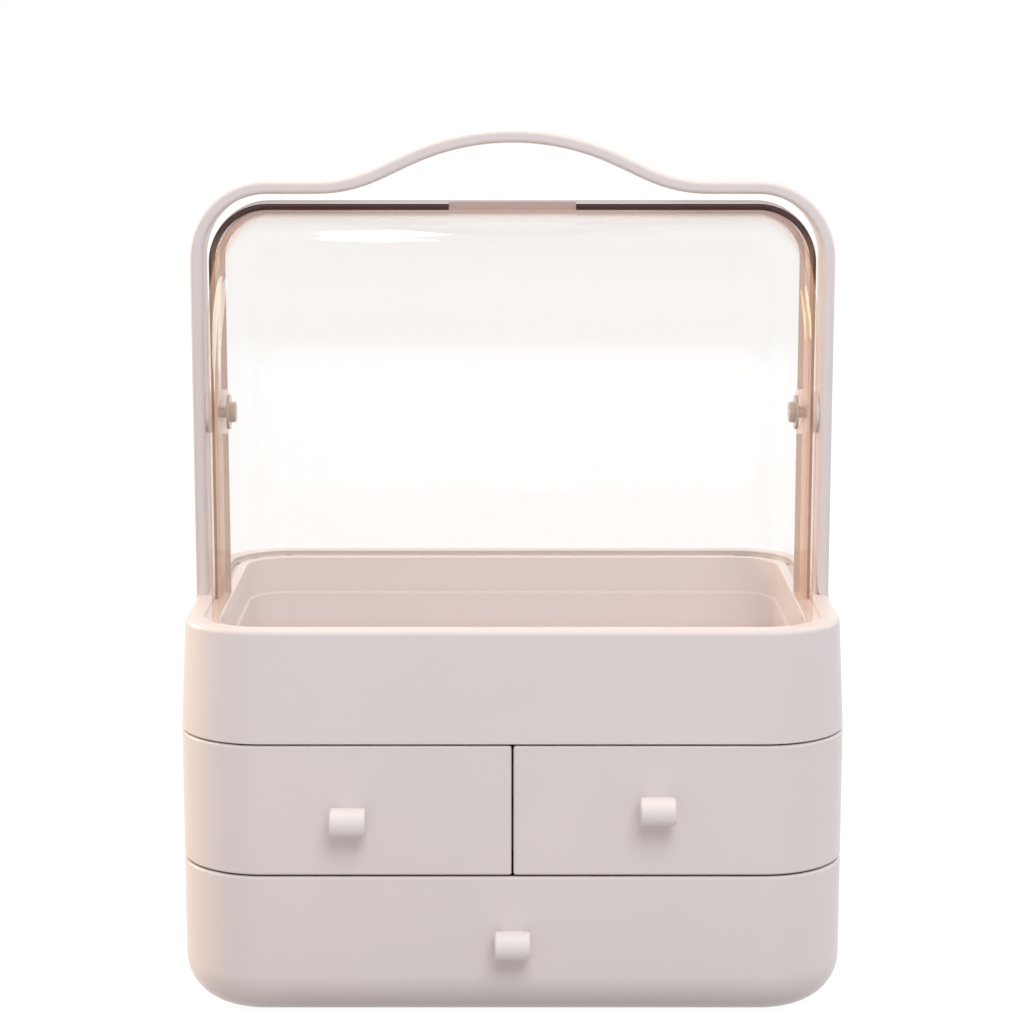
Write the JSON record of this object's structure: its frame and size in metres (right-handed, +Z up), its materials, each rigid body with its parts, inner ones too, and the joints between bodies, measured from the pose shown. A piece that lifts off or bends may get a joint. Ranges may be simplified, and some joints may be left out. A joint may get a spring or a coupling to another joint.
{
  "type": "dustproof makeup organizer",
  "caption": "Countertop makeup organizer with a small pair of drawers over a wide one, an open tray, a carrying handle and a clear dust cover whose front swings up and back.",
  "frame": {"origin": "on the surface it stands on, at the middle of the footprint with the knobs included", "axes": "+Z up, -Y towards the drawer fronts, +X to the right seen from the front"},
  "size_m": [0.28, 0.2014, 0.3689],
  "materials": {
    "case_plastic": "smooth warm white moulded plastic, satin gloss",
    "drawer_plastic": "smooth warm white moulded plastic, satin gloss",
    "knob_plastic": "smooth warm white moulded plastic",
    "trim_plastic": "glossy white moulded plastic",
    "clear_plastic": "clear glossy acrylic-like plastic",
    "screw_steel": "bright zinc-plated steel",
    "foot_rubber": "pale translucent rubber"
  },
  "bodies": {
    "base": {"case_shell": "case_plastic", "shelf": "case_plastic", "divider": "case_plastic", "tray": "case_plastic", "tray_screws": "screw_steel", "rubber_feet": "foot_rubber", "handle_band": "case_plastic", "rear_cover": "clear_plastic", "pivot_spacer_left": "case_plastic", "pivot_spacer_right": "case_plastic", "pivot_pin_left": "screw_steel", "pivot_pin_right": "screw_steel", "pivot_washer_left": "trim_plastic", "pivot_washer_right": "trim_plastic", "pin_cap_left": "trim_plastic", "pin_cap_right": "trim_plastic"},
    "cover": {"front_cover": "clear_plastic"},
    "drawer_left": {"left_front": "drawer_plastic", "left_bin": "drawer_plastic", "left_knob": "knob_plastic", "left_knob_screw": "screw_steel"},
    "drawer_right": {"right_front": "drawer_plastic", "right_bin": "drawer_plastic", "right_knob": "knob_plastic", "right_knob_screw": "screw_steel"},
    "drawer_bottom": {"bottom_front": "drawer_plastic", "bottom_bin": "drawer_plastic", "bottom_knob": "knob_plastic", "bottom_knob_screw": "screw_steel"}
  },
  "joints": [
    {"name": "cover_hinge", "type": "hinge", "parent": "base", "child": "cover", "pos_m": [0, -0.0013, 0.2471], "axis": [-1, 0, 0], "range_deg": [0, 105]},
    {"name": "left_slide", "type": "slide", "parent": "base", "child": "drawer_left", "axis": [0, -1, 0], "range_m": [0, 0.11]},
    {"name": "right_slide", "type": "slide", "parent": "base", "child": "drawer_right", "axis": [0, -1, 0], "range_m": [0, 0.11]},
    {"name": "bottom_slide", "type": "slide", "parent": "base", "child": "drawer_bottom", "axis": [0, -1, 0], "range_m": [0, 0.12]}
  ]
}
